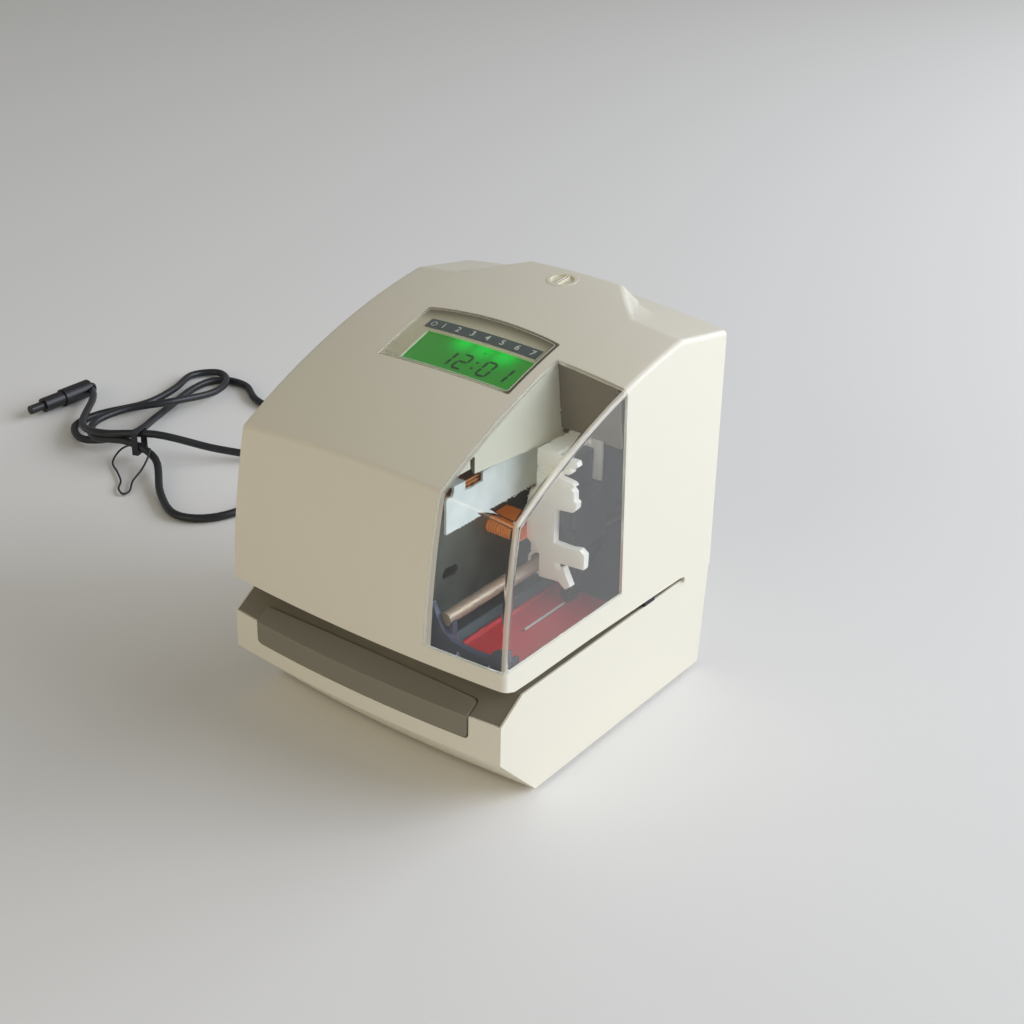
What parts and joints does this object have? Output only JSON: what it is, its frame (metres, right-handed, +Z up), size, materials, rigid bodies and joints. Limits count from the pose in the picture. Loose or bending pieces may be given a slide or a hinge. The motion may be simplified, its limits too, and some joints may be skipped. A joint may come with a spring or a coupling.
{
  "type": "time stamp machine",
  "caption": "Desk time stamp: a cream case with a paper throat, push bar, lit clock display and a clear corner window onto its travelling print carriage; the locked cover lifts off.",
  "frame": {"origin": "middle of the footprint of the machine without its cord, on the surface it stands on", "axes": "+Z up, -Y towards the user and the push bar, +X to the right, the side of the corner window"},
  "size_m": [0.4774, 0.2653, 0.1831],
  "materials": {
    "cream_plastic": "satin moulded",
    "taupe_plastic": "fine texture",
    "clear_plastic": "clear acrylic",
    "shroud_plastic": "satin moulded",
    "black_plastic": "satin moulded",
    "cord_rubber": "satin sheath",
    "foot_rubber": "matt",
    "platen_rubber": "matt",
    "white_plastic": "moulded acetal",
    "natural_plastic": "moulded nylon",
    "frame_steel": "black passivated",
    "zinc_steel": "bright zinc",
    "screw_steel": "plated",
    "rod_steel": "ground",
    "bush_bronze": "sintered bronze",
    "brass_tip": "bright",
    "red_plastic": "translucent sheet",
    "belt_urethane": "moulded",
    "board_laminate": "lacquered board",
    "cable_film": "polyimide film",
    "display_green": "lit display",
    "strip_slate": "printed strip",
    "motor_steel": "plated can",
    "lock_plating": "satin nickel"
  },
  "bodies": {
    "base": {"base_shell": "cream_plastic", "base_screws": "screw_steel", "rubber_feet": "foot_rubber", "table_plate": "taupe_plastic", "bar_pivot": "screw_steel", "bar_switch": "black_plastic", "platen": "platen_rubber", "stop_rail": "zinc_steel", "power_board": "board_laminate", "supply_socket": "black_plastic", "head_frame": "frame_steel", "side_plate": "zinc_steel", "frame_screws": "screw_steel", "rack_plate": "zinc_steel", "guide_rod": "rod_steel", "front_bracket": "frame_steel", "ribbon_mask": "red_plastic", "drive_motor": "motor_steel", "idler_axle": "screw_steel", "drive_belt": "belt_urethane", "head_cable": "cable_film", "cable_clamp": "black_plastic", "control_board": "board_laminate", "display_module": "display_green", "board_bracket": "zinc_steel", "lock_keeper": "zinc_steel", "supply_plug": "black_plastic", "supply_cord": "cord_rubber", "adapter_plug": "black_plastic", "cord_tie": "cord_rubber"},
    "push_bar": {"push_bar": "taupe_plastic"},
    "switch_plunger": {"switch_plunger": "red_plastic"},
    "paper_stop": {"paper_stop": "black_plastic"},
    "carriage": {"carriage": "white_plastic", "rod_bushes": "bush_bronze", "print_head": "black_plastic", "gear_spindle": "screw_steel"},
    "ribbon_gear": {"ribbon_gear": "natural_plastic"},
    "motor_pulley": {"motor_pulley": "natural_plastic"},
    "idler_pulley": {"idler_pulley": "natural_plastic"},
    "cover": {"upper_cover": "cream_plastic", "window": "clear_plastic", "window_shroud": "shroud_plastic", "display_lens": "clear_plastic", "weekday_strip": "strip_slate", "lock_barrel": "lock_plating"},
    "lock_plug": {"lock_plug": "lock_plating", "lock_cam": "zinc_steel"},
    "select_button": {"select_button": "black_plastic"},
    "change_button": {"change_button": "black_plastic"},
    "set_button": {"set_button": "black_plastic"}
  },
  "joints": [
    {"name": "bar_press", "type": "hinge", "parent": "base", "child": "push_bar", "pos_m": [0, -0.07635, 0.0445], "axis": [1, 0, 0], "range_deg": [0, 6], "stiffness_Nm_per_rad": 0.4, "springref_deg": -3.44},
    {"name": "plunger_travel", "type": "slide", "parent": "base", "child": "switch_plunger", "axis": [0, 1, 0], "range_m": [0, 0.0007]},
    {"name": "stop_slide", "type": "slide", "parent": "base", "child": "paper_stop", "axis": [0, 1, 0], "range_m": [-0.015, 0.018]},
    {"name": "carriage_travel", "type": "slide", "parent": "base", "child": "carriage", "axis": [0, -1, 0], "range_m": [0, 0.031]},
    {"name": "ribbon_gear_spin", "type": "hinge", "parent": "carriage", "child": "ribbon_gear", "pos_m": [0.0335, -0.00135, 0.10835], "axis": [1, 0, 0], "range_deg": [-330, 330]},
    {"name": "motor_spin", "type": "hinge", "parent": "base", "child": "motor_pulley", "pos_m": [0.026, 0.03865, 0.1236], "axis": [1, 0, 0], "range_deg": [-310, 310]},
    {"name": "idler_spin", "type": "hinge", "parent": "base", "child": "idler_pulley", "pos_m": [0.026, -0.04735, 0.1236], "axis": [1, 0, 0], "range_deg": [-310, 310]},
    {"name": "cover_lift", "type": "slide", "parent": "base", "child": "cover", "axis": [0, 0, 1], "range_m": [0, 0.125]},
    {"name": "lock_turn", "type": "hinge", "parent": "cover", "child": "lock_plug", "pos_m": [0.0006, 0.05895, 0.18226], "axis": [0, 0.0921, -0.9958], "range_deg": [0, 90]},
    {"name": "select_press", "type": "slide", "parent": "base", "child": "select_button", "axis": [0, 0.3152, -0.949], "range_m": [0, 0.0007], "stiffness_N_per_m": 300, "springref_m": -0.0006},
    {"name": "change_press", "type": "slide", "parent": "base", "child": "change_button", "axis": [0, 0.3152, -0.949], "range_m": [0, 0.0007], "stiffness_N_per_m": 300, "springref_m": -0.0006},
    {"name": "set_press", "type": "slide", "parent": "base", "child": "set_button", "axis": [0, 0.3152, -0.949], "range_m": [0, 0.0007], "stiffness_N_per_m": 300, "springref_m": -0.0006}
  ],
  "couplings": [
    {"joint": "plunger_travel", "follows": "bar_press", "m_per_rad": 0.0062},
    {"joint": "ribbon_gear_spin", "follows": "carriage_travel", "rad_per_m": -178.57},
    {"joint": "motor_spin", "follows": "carriage_travel", "rad_per_m": -166.67},
    {"joint": "idler_spin", "follows": "carriage_travel", "rad_per_m": -166.67}
  ]
}
